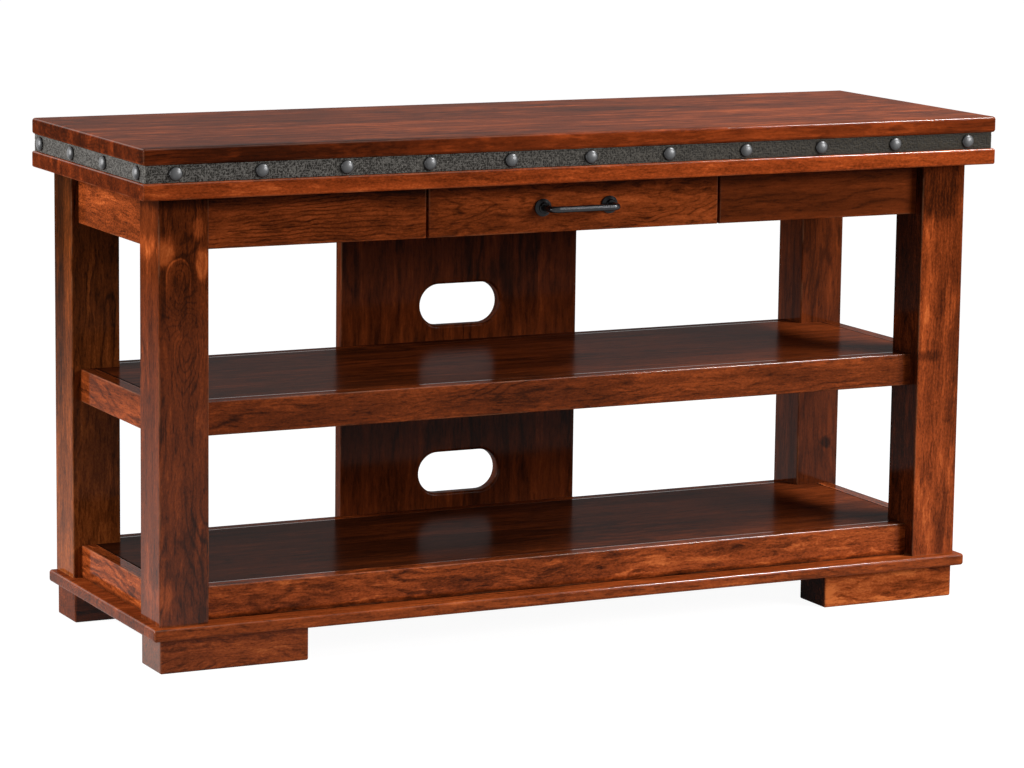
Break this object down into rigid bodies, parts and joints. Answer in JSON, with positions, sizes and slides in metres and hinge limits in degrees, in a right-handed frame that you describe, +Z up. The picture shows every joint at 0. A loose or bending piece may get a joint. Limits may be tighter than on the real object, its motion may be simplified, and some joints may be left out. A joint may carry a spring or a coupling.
{
  "type": "media console",
  "caption": "Open-shelf media console in stained wood: banded top with nail heads, one shallow drawer, two open shelves and a wire panel with cable slots.",
  "frame": {"origin": "on the floor under the middle of the top", "axes": "+X along the width, to the right seen from the front; -Y out of the front; +Z up"},
  "size_m": [1.2238, 0.4084, 0.66],
  "materials": {
    "cherry_stain": "red-brown stain under a gloss clear coat",
    "drawer_maple": "clear satin",
    "hammered_iron": "hammered, dark patina",
    "clavo_iron": "smooth dark pewter",
    "pull_bronze": "satin dark bronze",
    "slide_steel": "zinc plated",
    "screw_steel": "black oxide"
  },
  "bodies": {
    "cabinet": {"apron_back": "cherry_stain", "apron_front_left": "cherry_stain", "apron_front_right": "cherry_stain", "apron_left": "cherry_stain", "apron_right": "cherry_stain", "clavos_front": "clavo_iron", "clavos_left": "clavo_iron", "clavos_right": "clavo_iron", "drawer_hanger_left": "cherry_stain", "drawer_hanger_right": "cherry_stain", "foot_front_left": "cherry_stain", "foot_front_right": "cherry_stain", "foot_rear_left": "cherry_stain", "foot_rear_right": "cherry_stain", "iron_band": "hammered_iron", "leg_front_left": "cherry_stain", "leg_front_right": "cherry_stain", "leg_rear_left": "cherry_stain", "leg_rear_right": "cherry_stain", "low_shelf_panel": "cherry_stain", "low_shelf_rail_front": "cherry_stain", "low_shelf_rail_left": "cherry_stain", "low_shelf_rail_rear": "cherry_stain", "low_shelf_rail_right": "cherry_stain", "mid_shelf_panel": "cherry_stain", "mid_shelf_rail_front": "cherry_stain", "mid_shelf_rail_left": "cherry_stain", "mid_shelf_rail_rear": "cherry_stain", "mid_shelf_rail_right": "cherry_stain", "plinth": "cherry_stain", "slide_cabinet_left": "slide_steel", "slide_cabinet_right": "slide_steel", "sub_top": "cherry_stain", "top_cleat_left": "cherry_stain", "top_cleat_right": "cherry_stain", "top_core": "cherry_stain", "top_slab": "cherry_stain", "wire_panel": "cherry_stain", "wire_panel_screws": "screw_steel"},
    "drawer": {"drawer_front": "cherry_stain", "drawer_box_front": "drawer_maple", "drawer_box_back": "drawer_maple", "drawer_side_left": "drawer_maple", "drawer_side_right": "drawer_maple", "drawer_bottom": "drawer_maple", "drawer_front_screws": "screw_steel", "pull_bar": "pull_bronze", "pull_rosettes": "pull_bronze", "pull_screws": "screw_steel", "slide_drawer_left": "slide_steel", "slide_drawer_right": "slide_steel"},
    "slide_stage": {"slide_middle_left": "slide_steel", "slide_middle_right": "slide_steel"}
  },
  "joints": [
    {"name": "drawer_slide", "type": "slide", "parent": "cabinet", "child": "drawer", "axis": [0, -1, 0], "range_m": [0, 0.27]},
    {"name": "stage_slide", "type": "slide", "parent": "cabinet", "child": "slide_stage", "axis": [0, -1, 0], "range_m": [0, 0.135]}
  ],
  "couplings": [
    {"joint": "stage_slide", "follows": "drawer_slide", "ratio": 0.5}
  ]
}
